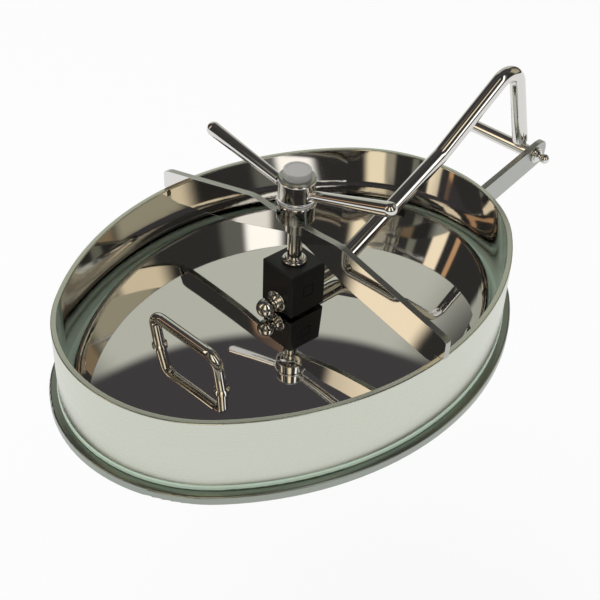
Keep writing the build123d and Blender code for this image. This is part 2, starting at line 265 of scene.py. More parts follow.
# %% Ring steel
# Painted reflection: the outside's greenish, darker colour stands in for the pale wall that the
# ground steel mirrors.
GROUND_PAINTED_REFLECTION = (0.61, 0.63, 0.55, 1)
LINE_DEPTH = 0.00002
ring_steel, shader, at = new_material("ring_steel", Metallic=1.0)
facing = Wire(at.tree, at.socket.node.outputs["Normal"])
px, py, _ = at.axes()
nx, ny, nz = facing.axes()
RIM_SHARE = 0.35  # the rim's top face counts as outside
outside = (px * nx + py * ny + RIM_SHARE * nz.maths("ABSOLUTE", nz)).step(0.0, 0.05)
lines = at.stretched((6.0, 6.0, 1400.0)).noise(1.0, 3.0)
patches = at.noise(9.0, 2.0)
ground = 0.14 + lines * 0.12 + patches * 0.05
feed(shader, "Roughness", 0.045 + lines * 0.03 + outside * ground)
# The outside takes the painted-reflection tint; the inside keeps the polished steel's colour.
feed(shader, "Base Color", outside.blend(POLISHED_COLOUR, GROUND_PAINTED_REFLECTION))
emboss(shader, lines * outside, LINE_DEPTH)
dress(ring_steel, "neck_ring")

# %% [markdown]
# ## Satin edges and flats
# The lid's hoop, the lug and the cut edges of the bridge are left satin. An anisotropic
# shader could smear their highlights, but fine noise lines in the roughness and height
# give the same broken gleam and also hold up close. The lines run along each piece, so
# each gets its own stretch: round the hoop, and along the flat bar. Both colours are darker than
# the polished steel's: a painted shade that stands in for the shaded floor these faces mirror.

# %% Satin steel
def satin_steel(name, along, colour):
    """Ground steel: along scales the noise, small on the axis that the lines follow; colour is
    darkened, a painted shade.
    """
    made, shader, at = new_material(name, Metallic=1.0, Base_Color=colour)
    lines = at.stretched(along).noise(1.0, 3.0)
    feed(shader, "Roughness", 0.22 + lines * 0.16)
    emboss(shader, lines, LINE_DEPTH)
    return made


# Painted shade: the hoop's and the flat bar's colours are darker than the steel, standing in for
# the shaded floor that they mirror.
hoop_satin_painted_shade = satin_steel("hoop_satin_painted_shade", (6.0, 6.0, 1200.0), (0.32, 0.35, 0.31, 1))
flat_satin_painted_shade = satin_steel("flat_satin_painted_shade", (30.0, 500.0, 900.0), (0.42, 0.43, 0.40, 1))
dress(hoop_satin_painted_shade, "lid_hoop")

# %% [markdown]
# ## Polished bar
# The arm, the rods and the turned parts come from polished round bar. A clean chrome
# shader looks like plastic foil on them, because real bar keeps faint marks: turned pieces
# have them across the axis and bent bar along it. Very fine lines join a soft haze in the
# roughness, and a height pattern of two hundredths of a millimetre makes the long
# highlights waver a little, as they do on bar that was buffed by hand.

# %% Bar steel
def polished_bar(name, along):
    """Buffed bar: along scales the marks, small on the axis that they follow."""
    made, shader, at = new_material(name, Metallic=1.0, Base_Color=grey(0.68, 0.02))
    haze = at.noise(45.0, 4.0)
    marks = at.stretched(along).noise(1.0, 3.0)
    feed(shader, "Roughness", 0.035 + haze * 0.03 + marks * 0.04)
    emboss(shader, at.noise(60.0, 1.0), LINE_DEPTH)
    return made


turned_steel = polished_bar("turned_steel", (40.0, 40.0, 1800.0))
bent_steel = polished_bar("bent_steel", (500.0, 60.0, 500.0))
dress(turned_steel, "spindle_boss", "handle_collars")
dress(bent_steel, "lid_handle")

# %% [markdown]
# ## Weld metal
# A weld bead is a row of small overlapping ripples, a little duller and browner than the
# bar beside it, even after it has been brushed. The ripples themselves are in the mesh,
# further down. The finish only needs a blotchy tint and a coarse grain, and one noise
# drives colour, roughness and height together, so that the dull spots are also the dark
# and the low ones.

# %% Weld bead metal
weld_metal, shader, at = new_material("weld_metal", Metallic=1.0)
ripple = at.noise(420.0, 2.0)
feed(shader, "Base Color", ripple.blend(grey(0.42, 0.06), grey(0.60, 0.03)))
feed(shader, "Roughness", 0.22 + ripple * 0.2)
emboss(shader, ripple, 0.0002)
print(weld_metal.name, "is ready for the beads")

# %% [markdown]
# ## Plastics and gasket
# The pivot block is machined black plastic: nearly black, matt, with a fine tool grain.
# The cap is a grey moulding, and the slip ring is natural white plastic. One function
# makes them all, because they differ only in colour, gloss and grain. The gasket is
# translucent silicone. Full transmission would show the steel behind it as glass does;
# light only soaks a few millimetres into the real one, which subsurface scatter gives.

# %% Plastics
GRAIN_DEPTH = 0.00004


def plastic(name, dark, light, rough, grain, **uniform):
    """A plastic between two shades, with a fine grain that also breaks its gloss."""
    made, shader, at = new_material(name, **uniform)
    cloud = at.noise(35.0, 4.0)
    fine = at.noise(grain, 2.0)
    feed(shader, "Base Color", cloud.blend(dark, light))
    feed(shader, "Roughness", rough + fine * 0.14)
    emboss(shader, fine, GRAIN_DEPTH)
    return made


black_plastic = plastic(
    "black_plastic", grey(0.006), grey(0.011), 0.30, 1500.0, Specular_IOR_Level=0.28,
)
slip_plastic = plastic("slip_plastic", grey(0.55, 0.02), grey(0.66, 0.02), 0.45, 900.0)
cap_plastic = plastic("cap_plastic", grey(0.30, 0.03), grey(0.42, 0.03), 0.38, 900.0)
gasket_silicone = plastic(
    "gasket_silicone", (0.50, 0.63, 0.50, 1), (0.60, 0.72, 0.60, 1), 0.30, 500.0,
    Subsurface_Weight=0.2, Subsurface_Scale=0.004,
)
dress(black_plastic, "pivot_block")
dress(gasket_silicone, "gasket")

# %% [markdown]
# ## From a mesh to a piece
# A mesh becomes a piece of the object in the same few steps each time: doubles are merged,
# faces are turned outwards, millimetres become metres, and edges sharper than a set angle
# stay hard. Plain smooth shading would make a flat face beside a small rounded edge look
# like a pillow, so a Weighted Normal modifier lets the large faces set the direction. The
# object itself stays at the origin, and its place is in its mesh.

# %% Finish a mesh as a piece
HARD_ANGLE = radians(32)
DOUBLES = 0.001  # millimetres


def piece_from(mesh, name, body, slot, *materials):
    """Makes an object at the origin from a mesh in millimetres, and puts it on its body."""
    bmesh.ops.remove_doubles(mesh, verts=mesh.verts, dist=DOUBLES)
    bmesh.ops.recalc_face_normals(mesh, faces=mesh.faces)
    bmesh.ops.scale(mesh, verts=mesh.verts, vec=(MM, MM, MM))
    for edge in mesh.edges:
        edge.smooth = len(edge.link_faces) == 2 and edge.calc_face_angle() < HARD_ANGLE
    for face in mesh.faces:
        face.smooth = True
    data = bpy.data.meshes.new(name)
    mesh.to_mesh(data)
    mesh.free()
    piece = bpy.data.objects.new(name, data)
    bpy.context.scene.collection.objects.link(piece)
    for material in materials:
        data.materials.append(material)
    flat = piece.modifiers.new("flat_faces_stay_flat", "WEIGHTED_NORMAL")
    flat.keep_sharp = True
    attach(piece, body)
    print(name, "on", body, len(data.polygons), "faces")
    return piece


print("edges of more than", round(HARD_ANGLE * 180 / pi), "degrees stay hard")

# %% [markdown]
# ## Turned pieces
# Most small parts of the nut, the spindle and the hinge come off a lathe. They could be
# stacked from cylinders, but then every shoulder would be a seam. Half of the outline,
# spun once round the axis, gives one closed skin with the shoulders in it, and the outline
# reads like the drawing that the turner works from. Two helpers write such outlines: one
# for arcs, and one that breaks each corner a little, as a file does on the lathe.

# %% Turned pieces
ROUND_STEPS = 72


def turn(mesh, outline, place=Matrix()):
    """Spins an outline of (radius, height) round +Z, then moves it to its place."""
    verts = [mesh.verts.new((radius, 0, height)) for radius, height in outline]
    edges = [mesh.edges.new(pair) for pair in zip(verts, verts[1:])]
    before = set(mesh.verts) - set(verts)
    bmesh.ops.spin(
        mesh, geom=verts + edges, cent=(0, 0, 0), axis=(0, 0, 1), dvec=(0, 0, 0),
        angle=2 * pi, steps=ROUND_STEPS, use_merge=True,
    )
    made = [vert for vert in mesh.verts if vert not in before]
    bmesh.ops.transform(mesh, matrix=place, verts=made)


def turned_piece(name, body, slot, material, outline, place=Matrix()):
    """A piece that is one turned outline."""
    mesh = bmesh.new()
    turn(mesh, outline, place)
    return piece_from(mesh, name, body, slot, material)


def arc(centre, radius, start, end, steps=10):
    """Outline points on an arc; angles in degrees from the radius direction."""
    turns = [radians(start + (end - start) * i / steps) for i in range(steps + 1)]
    return [(centre[0] + radius * cos(t), centre[1] + radius * sin(t)) for t in turns]


def eased(outline, ease):
    """Breaks each inner corner of an outline with a small chamfer."""
    out = [outline[0]]
    for before, corner, after in zip(outline, outline[1:], outline[2:]):
        corner = Vector(corner)
        for other in (before, after):
            run = Vector(other) - corner
            out.append(tuple(corner + run.normalized() * min(ease, run.length / 3)))
    return out + [outline[-1]]


print("a full turn takes", ROUND_STEPS, "steps")

# %% [markdown]
# ## Bent bars
# A bar is bent cold round a former, so it keeps its width through each bend. A bevelled
# curve is the usual way to draw one, but its corners need handles that don't say the bend
# radius. Here a disc does what the bender does: it is pushed straight along a leg, and
# then spun round the centre of the bend, so the drawing's corner points and radii are
# all that it needs.

# %% Bent bars
BAR_SIDES = 36
BEND_STEPS = 14


def upright_to(aim):
    """The turn that lays the +Z axis along a direction."""
    return Vector((0, 0, 1)).rotation_difference(Vector(aim)).to_matrix().to_4x4()


def moved_verts(geometry):
    """The vertices among the elements that an operator returns."""
    return [item for item in geometry if isinstance(item, bmesh.types.BMVert)]


def bend_bar(mesh, points, radii, diameter):
    """Pushes a disc along straight legs and spins it round each bend."""
    aim = (points[1] - points[0]).normalized()
    disc = bmesh.ops.create_circle(
        mesh, cap_ends=True, segments=BAR_SIDES, radius=diameter / 2,
        matrix=Matrix.Translation(points[0]) @ upright_to(aim),
    )
    first = face = disc["verts"][0].link_faces[0]
    here = points[0]

    def push(face, run):
        pushed = bmesh.ops.extrude_face_region(mesh, geom=[face])["geom"]
        bmesh.ops.translate(mesh, vec=run, verts=moved_verts(pushed))
        if face is not first:
            mesh.faces.remove(face)
        return next(item for item in pushed if isinstance(item, bmesh.types.BMFace))

    def swing(face, centre, axis, angle):
        geom = [face] + list(face.edges) + list(face.verts)
        last = bmesh.ops.spin(
            mesh, geom=geom, cent=centre, axis=axis, dvec=(0, 0, 0), angle=angle,
            steps=BEND_STEPS,
        )["geom_last"]
        return next(item for item in last if isinstance(item, bmesh.types.BMFace))

    for corner, after, radius in zip(points[1:-1], points[2:], radii):
        inward = (corner - here).normalized()
        outward = (after - corner).normalized()
        angle = inward.angle(outward)
        cut = radius * tan(angle / 2)
        face = push(face, corner - inward * cut - here)
        axis = inward.cross(outward).normalized()
        centre = corner - inward * cut + axis.cross(inward) * radius
        face = swing(face, centre, axis, angle)
        here = corner + outward * cut
    push(face, points[-1] - here)


print("bars have", BAR_SIDES, "sides and", BEND_STEPS, "steps in each bend")

# %% [markdown]
# ## The turned stack on the spindle
# On the real cover the bridge has a sleeve that slides on the spindle, and above it sit a
# washer, a plastic slip ring and the clamping nut with its ring and cap. Each could be
# placed by its own height, but then one change leaves gaps. The heights are added up from
# the top of the neck ring instead, so each seat is the top of the piece below it.

# %% Heights of the turned stack
SPINDLE, TUBE, SLEEVE = 12.4, 16.5, 32.0
SLEEVE_TALL, WASHER_TALL, SLIP_TALL, HUB_TALL, RING_TALL = 15.5, 1.6, 1.0, 20.0, 2.2
WASHER_GAP = 0.05  # lets the washer stand still while the bridge turns under it
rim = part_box("neck_ring")[1][2] / MM
tube_foot, sleeve_foot = rim + 35.0, rim + 48.0
sleeve_top = sleeve_foot + SLEEVE_TALL
washer_foot = sleeve_top + WASHER_GAP
washer_top = washer_foot + WASHER_TALL
slip_top = washer_top + SLIP_TALL
hub_top = slip_top + HUB_TALL
ring_top = hub_top + RING_TALL
print("rim", rim, "hub top", hub_top, "ring top", ring_top)

# %% [markdown]
# ### Sleeve, washer and slip ring
# The sleeve widens from the tube that is welded through the bridge to the seat of the nut.
# The washer spreads the load, and the slip ring keeps steel from galling on steel. The
# sleeve guides, so its bore is only six hundredths of a millimetre clear of the spindle;
# the two rings above it don't, so they are wider by half a millimetre.

# %% Sleeve and tube of the bridge
FIT, LOOSE = 0.06, 0.5
bore = SPINDLE / 2 + FIT
sleeve = turned_piece(
    "bridge_sleeve_turned", "bridge", "steel_bar", turned_steel,
    eased([
        (bore, tube_foot), (TUBE / 2, tube_foot), (TUBE / 2, sleeve_foot - 4.0),
        (TUBE / 2 + 3.0, sleeve_foot), (SLEEVE / 2 - 1.0, sleeve_foot),
        (SLEEVE / 2, sleeve_foot + 1.0), (SLEEVE / 2, sleeve_top), (bore, sleeve_top),
        (bore, tube_foot),
    ], 0.5),
)
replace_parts(sleeve, "bridge_sleeve")

# %% Washer and slip ring under the nut
wide_bore, washer_side, slip_side = bore + LOOSE, SLEEVE / 2 + 1.0, 14.5
washer = turned_piece(
    "nut_washer", "washer", "steel_bar", turned_steel,
    eased([
        (wide_bore, washer_foot), (washer_side, washer_foot), (washer_side, washer_top),
        (wide_bore, washer_top), (wide_bore, washer_foot),
    ], 0.4),
)
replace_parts(washer, "thrust_washer")
slip = turned_piece(
    "nut_slip_ring", "slip", "white_plastic", slip_plastic,
    [(wide_bore, washer_top), (slip_side, washer_top), (slip_side, slip_top),
     (wide_bore, slip_top), (wide_bore, washer_top)],
)
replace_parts(slip, "slip_ring")

# %% [markdown]
# ### Hub, ring and cap
# The hub is turned from solid bar with a blind bore, and a shallow shoulder near its foot
# catches the light as a bright line. A satin ring and a ribbed plastic cap close it. The
# ribs are part of the cap's outline: a loop writes one rib after the other.

# %% Hub of the nut
hub = turned_piece(
    "nut_hub_turned", "nut", "steel_bar", turned_steel,
    eased([
        (bore, slip_top), (SLEEVE / 2 - 1.2, slip_top), (SLEEVE / 2, slip_top + 1.2),
        (SLEEVE / 2, slip_top + 2.6), (SLEEVE / 2 - 0.5, slip_top + 3.1),
        (SLEEVE / 2 - 0.5, hub_top - 1.0), (SLEEVE / 2 - 1.5, hub_top), (0, hub_top),
        (0, hub_top - 3.0), (bore, hub_top - 3.0), (bore, slip_top),
    ], 0.4),
)
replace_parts(hub, "nut_hub")

# %% Satin ring and ribbed cap
RING = 15.5
top_ring = turned_piece(
    "nut_top_ring_turned", "nut", "steel_satin", flat_satin_painted_shade,
    eased([(0, hub_top), (RING, hub_top), (RING, ring_top), (0, ring_top)], 0.7),
)
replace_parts(top_ring, "nut_top_ring")
CAP, CAP_HEIGHT = 11.6, 6.6
RIBS, RIB_PITCH, GROOVE = 3, 1.25, 0.5
cap_outline = [(0, ring_top), (CAP, ring_top)]
for rib in range(RIBS):
    foot = ring_top + 0.3 + rib * RIB_PITCH
    cap_outline += [
        (CAP, foot), (CAP, foot + 0.75),
        (CAP - GROOVE, foot + 0.9), (CAP - GROOVE, foot + RIB_PITCH - 0.1),
    ]
cap_top = ring_top + CAP_HEIGHT
cap_outline += [(CAP, cap_top - 2.0), (CAP, cap_top - 0.7)]
cap_outline += arc((CAP - 0.7, cap_top - 0.7), 0.7, 0, 90, 5)
cap_outline += [(CAP - 2.2, cap_top), (CAP - 2.5, cap_top - 0.5), (0, cap_top - 0.5)]
cap = turned_piece("nut_cap_ribbed", "nut", "grey_plastic", cap_plastic, cap_outline)
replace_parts(cap, "nut_cap")

# %% [markdown]
# ## Handle rods
# Each rod is turned from bar: a thin neck where it screws into the hub, then a slow taper
# that widens to a round end, so it doesn't slip through a wet hand. A cylinder with a ball
# on it would show a seam at the ball, so the round end is the last arc of the outline. Both
# rods use one outline: they share one line in plan and rise by the same angle.

# %% Two rods
ROD_ROOT, ROD_END, ROD_NECK = 9.0, 12.4, 7.4
SEAT_WIDE, SEAT_SLIM = 5.6, 5.0
rod_reach, rod_rise, rod_plan = 93.0, radians(15.2), radians(95.6)
rod_root = 135.6  # where the rods' line crosses the spindle's axis
hub_side = SLEEVE / 2 - 0.5
rod_outline = [(0, hub_side - 3.0), (ROD_NECK / 2, hub_side - 3.0)]
rod_outline += arc((ROD_NECK / 2 + 1.5, hub_side + 2.0), 1.5, 180, 120, 4)
rod_outline += arc((ROD_ROOT / 2 - 1.2, hub_side + 6.0), 1.2, -30, 0, 3)
rod_outline += arc((0, rod_reach), ROD_END / 2, 0, 90, 12)
for name, old, side in (("rod_far", "handle_rod_far", 1), ("rod_near", "handle_rod_near", -1)):
    plan = rod_plan if side > 0 else rod_plan - pi
    aim = Vector((cos(plan) * cos(rod_rise), sin(plan) * cos(rod_rise), sin(rod_rise)))
    place = Matrix.Translation((0, 0, rod_root)) @ upright_to(aim)
    rod = turned_piece(name, "nut", "steel_bar", turned_steel, rod_outline, place)
    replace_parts(rod, old)
    turned_piece(
        name + "_seat", "nut", "steel_bar", turned_steel,
        [(0, hub_side - 2.5), (SEAT_WIDE, hub_side - 2.5), (SEAT_WIDE, hub_side - 0.1),
         (SEAT_SLIM, hub_side + 0.5), (0, hub_side + 0.5)],
        place,
    )

# %% [markdown]
# ## Spindle and collar
# The spindle is a polished rod that stands on the lid; its upper part carries the thread
# that the nut runs on. A true helix would take thousands of faces for something that the
# nut hides most of the time. Rings with the thread's pitch and profile, written into the
# outline by a loop, look the same from any distance at which the lid is seen open. A round
# two-step nut holds the plastic block down over the spindle's foot.

# %% Spindle with its thread
block_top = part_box("pivot_block")[1][2] / MM
spindle_top = hub_top - 4.0
PITCH, THREAD_DEPTH = 3.0, 0.55
thread_from = sleeve_foot + 4.0
outline = [(0, block_top - 1.0), (SPINDLE / 2, block_top - 1.0), (SPINDLE / 2, thread_from)]
turns = int((spindle_top - 2.0 - thread_from) / PITCH)
for thread in range(turns):
    foot = thread_from + thread * PITCH
    outline += [
        (SPINDLE / 2, foot + 0.5), (SPINDLE / 2 - THREAD_DEPTH, foot + 1.4),
        (SPINDLE / 2 - THREAD_DEPTH, foot + 1.9), (SPINDLE / 2, foot + 2.8),
    ]
outline += [(SPINDLE / 2, spindle_top - 1.0), (SPINDLE / 2 - 1.0, spindle_top), (0, spindle_top)]
print(turns, "threads")
spindle = turned_piece("spindle_turned", "cover", "steel_bar", turned_steel, outline)
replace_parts(spindle, "spindle")

# %% Collar on the block
collar = turned_piece(
    "block_collar", "cover", "steel_bar", turned_steel,
    [(0, block_top), (9.4, block_top)]
    + arc((9.0, block_top + 1.6), 1.6, -60, 75, 8)
    + [(8.2, block_top + 3.4), (8.2, block_top + 4.4)]
    + arc((7.4, block_top + 4.6), 0.8, 0, 90, 5)
    + [(0, block_top + 5.4)],
)
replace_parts(collar, "collar_nut")

# %% [markdown]
# ## Ball nuts
# The arm's end pin and the hinge pin are held by nuts with a flange, a waist and a ball,
# a shape that has no corner to trap dirt. All three are the same nut in two sizes, so the
# outline is written in shares of the ball's width, and one function turns it at any seat
# and in any direction.

# %% Ball nut outline
def ball_nut(mesh, size, seat, aim):
    """A ball nut of a given ball diameter, seated at a point and facing a direction."""
    outline = [(0, 0), (0.60 * size, 0)]
    outline += arc((0.56 * size, 0.10 * size), 0.07 * size, -60, 90, 5)
    outline += [(0.36 * size, 0.26 * size), (0.29 * size, 0.36 * size), (0.29 * size, 0.44 * size)]
    outline += arc((0, 0.86 * size), 0.5 * size, -52, 90, 16)
    turn(mesh, outline, Matrix.Translation(seat) @ upright_to(aim))


ARM_BALL, ARM_SEAT = 16.5, -18.7
old_low, old_high = [Vector(c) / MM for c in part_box("arm_ball_nut")]
arm_line = (old_low.z + old_high.z) / 2
mesh = bmesh.new()
ball_nut(mesh, ARM_BALL, (ARM_SEAT, 0.0, arm_line), (-1, 0, 0))
arm_nut = piece_from(mesh, "arm_end_nut", "cover", "steel_bar", turned_steel)
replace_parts(arm_nut, "arm_ball_nut")
print("arm line", arm_line)

# %% [markdown]
# ## Swing arm
# The arm is one polished round bar. It leaves the block along the long axis, bends up over
# the ring, turns back in a tight hairpin and comes down to the hinge tube. On the way it
# drifts sideways, because it meets the tube off the long axis. The drift is spread evenly
# over the reach beyond the first bend, so all the rest of the arm lies in one plane, which
# a bar bender can make. Its foot is turned down to a short neck, and the weld to the tube
# goes round that.

# %% Bent arm
BAR, FOOT_LENGTH = 15.0, 12.0
pin_low, pin_high = [Vector(c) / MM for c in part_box("hinge_pin")]
hinge_x, hinge_z = (pin_low.x + pin_high.x) / 2, (pin_low.z + pin_high.z) / 2
ARM_RUN, DRIFT = 58.0, -20.0


def arm_point(reach, height):
    """A corner of the arm's line, with its share of the sideways drift."""
    share = max(0.0, (reach - ARM_RUN) / (hinge_x - ARM_RUN))
    return Vector((reach, DRIFT * share, height))


arm_path = [
    arm_point(18.0, arm_line), arm_point(ARM_RUN, arm_line), arm_point(178.0, 104.0),
    arm_point(265.5, 171.0), arm_point(hinge_x, hinge_z),
]
mesh = bmesh.new()
last_leg = (arm_path[-1] - arm_path[-2]).normalized()
arm_path[-1] = arm_path[-1] - last_leg * FOOT_LENGTH
bend_bar(mesh, arm_path, (24.0, 35.0, 17.0), BAR)
arm = piece_from(mesh, "swing_arm_bent", "cover", "steel_bar", bent_steel)
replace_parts(arm, "swing_arm")

# %% Turned-down end of the arm
NECK = 4.6
turned_piece(
    "arm_end_taper", "cover", "steel_bar", bent_steel,
    [(0, -1.0), (BAR / 2, -1.0), (BAR / 2, 0.0)]
    + arc((BAR / 2 - 2.0, 0.4), 2.0, 0, 70, 6)
    + [(NECK, 3.4), (NECK, 6.0), (0, 6.0)],
    Matrix.Translation(arm_path[-1]) @ upright_to(last_leg),
)

# %% [markdown]
# ## Hinge
# A tube is welded across the arm's end and turns on a pin. The pin is held in one flat
# lug, which is welded on the ring's wall, by a washer and a ball nut. The tube, the pin and
# the washers all share the pin's axis, so one matrix places them, and their outlines are
# written as positions along the hinge. Tube and pin take their place from the solid pin,
# because that is the axis that the joint turns about.
#
# A weld bead can be a plain ring, but a smooth ring looks like a rubber seal. A small wave
# round it, one swell for each time the welder moved on, makes it read as weld.

# %% Hinge tube and its weld
HINGE_TUBE, LUG_INSIDE, LUG = 12.6, 32.0, 6.0
tube_near, tube_far = -LUG_INSIDE + 0.4, 38.4
along_y = Matrix.Translation((hinge_x, 0, hinge_z)) @ Matrix.Rotation(-pi / 2, 4, "X")
pin_radius = 3.5
RIPPLES, RIPPLE = 22, 0.05
tube = turned_piece(
    "hinge_tube_turned", "cover", "steel_bar", bent_steel,
    eased([
        (pin_radius + 0.1, tube_near), (HINGE_TUBE / 2, tube_near), (HINGE_TUBE / 2, tube_far),
        (pin_radius + 0.1, tube_far), (pin_radius + 0.1, tube_near),
    ], 0.6), along_y,
)
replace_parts(tube, "hinge_tube", "hinge_bushes")


def bead_ring(name, body, centre, aim, radius, thickness):
    """A weld bead all round a joint: a small circle spun round it, then rippled."""
    lean = upright_to(aim)
    mesh = bmesh.new()
    turn(mesh, arc((radius, 0), thickness, 0, 360, 10), Matrix.Translation(centre) @ lean)
    middle = Vector(centre)
    for vert in mesh.verts:
        local = lean.inverted() @ (vert.co - middle)
        wave = 1 + RIPPLE * sin(RIPPLES * atan2(local.y, local.x))
        vert.co = middle + lean @ (local * wave)
    piece_from(mesh, name, body, "steel_satin", weld_metal)


weld_place = arm_point(hinge_x, hinge_z) - last_leg * 6.4
bead_ring("arm_weld", "cover", weld_place, last_leg, radius=4.8, thickness=1.1)

# %% [markdown]
# ### The lug
# The lug is sawn from flat bar, its free end is rounded off round the pin, and its other
# end sits in the ring's wall. Its side outline is a face of a few corners; extruding that
# by the bar's thickness gives the plate. The tip's corners are bevelled first and wide,
# and all edges afterwards and narrow, because the narrow bevel has to follow the wide one.

# %% The lug, cut from flat bar
wall_x = 213.0  # a little inside the ring's wall, so that the joint is closed
lug_top, lug_foot = rim - 1.5, rim - 27.0
mesh = bmesh.new()
corners = [
    (wall_x, lug_foot), (wall_x, lug_top), (hinge_x + 6.0, hinge_z + 11.0),
    (hinge_x + 14.0, hinge_z + 10.0), (hinge_x + 17.0, hinge_z + 4.0),
    (hinge_x + 16.0, hinge_z - 10.0), (hinge_x + 8.0, hinge_z - 13.0),
]
face = mesh.faces.new([mesh.verts.new((x, -LUG_INSIDE, z)) for x, z in corners])
pushed = bmesh.ops.extrude_face_region(mesh, geom=[face])["geom"]
bmesh.ops.translate(mesh, vec=(0, -LUG, 0), verts=moved_verts(pushed))


def round_edges(mesh, edges, offset, segments):
    """Rounds edges with the bevel operator."""
    bmesh.ops.bevel(
        mesh, geom=edges, offset=offset, segments=segments, profile=0.5, affect="EDGES",
        material=-1,
    )


tip = [
    edge for edge in mesh.edges
    if abs(edge.verts[0].co.y - edge.verts[1].co.y) > 1 and edge.verts[0].co.x > hinge_x
]
round_edges(mesh, tip, offset=2.5, segments=5)
round_edges(mesh, list(mesh.edges), offset=0.5, segments=2)
lug = piece_from(mesh, "hinge_lug", "neck", "steel_satin", flat_satin_painted_shade)
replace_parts(lug, "lug_near", "lug_far")

# %% [markdown]
# ### Straight welds
# A straight bead is turned as well: a thin bar whose outline swells and narrows once for
# each ripple. Half of it sinks into the corner that it fills, so what is left to see is a
# rounded, rippled fillet. The two beads of the lug stand where its faces meet the ring's
# end arc, which a right triangle gives from the arc's radius and centre.

# %% Welds of the lug on the ring
RIPPLE_PITCH = 1.6


def bead_line(name, body, start, end, thickness):
    """A straight weld bead: a bar of small ripples."""
    mesh = bmesh.new()
    run = Vector(end) - Vector(start)
    ripples = max(4, int(run.length / RIPPLE_PITCH))
    outline = [(0, 0)]
    for ripple in range(ripples):
        foot = run.length * ripple / ripples
        outline += [
            (thickness * 0.86, foot + 0.2), (thickness, foot + 0.8),
            (thickness * 0.9, foot + 1.4),
        ]
    outline += [(0, run.length)]
    turn(mesh, outline, Matrix.Translation(start) @ upright_to(run))
    piece_from(mesh, name, body, "steel_satin", weld_metal)


END_RADIUS, END_CENTRE = 131.0, 89.0
for label, y in (("near", -LUG_INSIDE - LUG), ("far", -LUG_INSIDE)):
    x = END_CENTRE + sqrt(END_RADIUS ** 2 - y ** 2) + 0.4
    foot, top = (x, y, lug_foot + 0.5), (x, y, lug_top - 0.5)
    bead_line(f"lug_weld_{label}", "neck", foot, top, thickness=1.5)

# %% [markdown]
# ### Pin, washers and nuts
# The pin is a plain rod with a washer and a ball nut at each end. Its near end is clamped
# to the lug, and its far end keeps the tube from sliding off.

# %% Pin, washer and ball nuts
lug_face = -LUG_INSIDE - LUG
near_seat, far_seat = lug_face - 2.2, tube_far + 1.5
WASHER, PIN_BALL = 7.6, 9.6
pin = turned_piece(
    "hinge_pin_turned", "neck", "steel_bar", turned_steel,
    [(0, near_seat - 0.8), (pin_radius, near_seat - 0.8), (pin_radius, far_seat), (0, far_seat)],
    along_y,
)
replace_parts(pin, "hinge_pin")
mesh = bmesh.new()
for foot, top in ((near_seat, lug_face), (tube_far + 0.3, far_seat)):
    turn(mesh, eased([(0, foot), (WASHER, foot), (WASHER, top), (0, top)], 0.4), along_y)
washers = piece_from(mesh, "hinge_washers", "neck", "steel_bar", turned_steel)
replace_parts(washers, "pin_washers")
for name, old, y, aim in (
    ("pin_ball_near", "pin_nut_near", near_seat, (0, -1, 0)),
    ("pin_ball_far", "pin_nut_far", far_seat, (0, 1, 0)),
):
    mesh = bmesh.new()
    ball_nut(mesh, PIN_BALL, (hinge_x, y, hinge_z), aim)
    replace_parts(piece_from(mesh, name, "neck", "steel_bar", turned_steel), old)

# %% [markdown]
# ## Bridge
# The bridge is flat bar on edge, cut to a shallow gable whose ends rest on the ring and
# hook inside it. A box with its corners moved would do for the gable but not for the
# hooks, so each half starts as one face with the sawn outline and is extruded by the
# bar's thickness. The wide bevels round the shoulders and end corners, and the narrow one
# breaks every edge. The faces are mirror polished and the cut edges stay satin, so each
# face takes its material from the way it faces.

# %% Bridge plate
ring_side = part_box("neck_ring")[1][1] / MM
plate_low, plate_high = [Vector(c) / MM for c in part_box("bridge_bar")]
WALL, HOOK_CLEARANCE, HOOK = 5.0, 2.5, 9.0
SHOULDER = 50.0
end_y = plate_high.y
hook_y = ring_side - WALL - HOOK_CLEARANCE
root_y = TUBE / 2 - 0.6  # a little inside the tube
seat = rim + 0.05
half = [
    (root_y, rim + 45.0), (26.0, rim + 45.0), (SHOULDER, rim + 46.5),
    (end_y - 6.0, rim + 19.5), (end_y, rim + 16.5), (end_y, seat),
    (hook_y, seat), (hook_y, rim - HOOK), (hook_y - HOOK, rim - HOOK),
    (68.0, rim + 10.0), (root_y, rim + 31.0),
]
mesh = bmesh.new()
width = (plate_high.x - plate_low.x) / 2
for side in (1, -1):
    verts = [mesh.verts.new((-width, side * y, z)) for y, z in half]
    face = mesh.faces.new(verts)
    pushed = bmesh.ops.extrude_face_region(mesh, geom=[face])["geom"]
    bmesh.ops.translate(mesh, vec=(2 * width, 0, 0), verts=moved_verts(pushed))


def across(edge):
    """True for an edge that runs through the plate's thickness."""
    return abs(edge.verts[0].co.x - edge.verts[1].co.x) > 1


# %% Round the bridge's corners and edges
shoulder = [
    edge for edge in mesh.edges
    if across(edge) and abs(abs(edge.verts[0].co.y) - SHOULDER) < 0.1
]
round_edges(mesh, shoulder, offset=5.0, segments=8)
corner = [
    edge for edge in mesh.edges
    if across(edge)
    and abs(edge.verts[0].co.y) > end_y - 7.0
    and edge.verts[0].co.z > rim + 10
]
round_edges(mesh, corner, offset=1.8, segments=5)
round_edges(mesh, list(mesh.edges), offset=0.35, segments=2)
bmesh.ops.recalc_face_normals(mesh, faces=mesh.faces)
for face in mesh.faces:
    face.material_index = 0 if abs(face.normal.x) > 0.9 else 1
bridge = piece_from(mesh, "bridge_plate", "bridge", "steel_mirror", plate_mirror, flat_satin_painted_shade)
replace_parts(bridge, "bridge_bar")

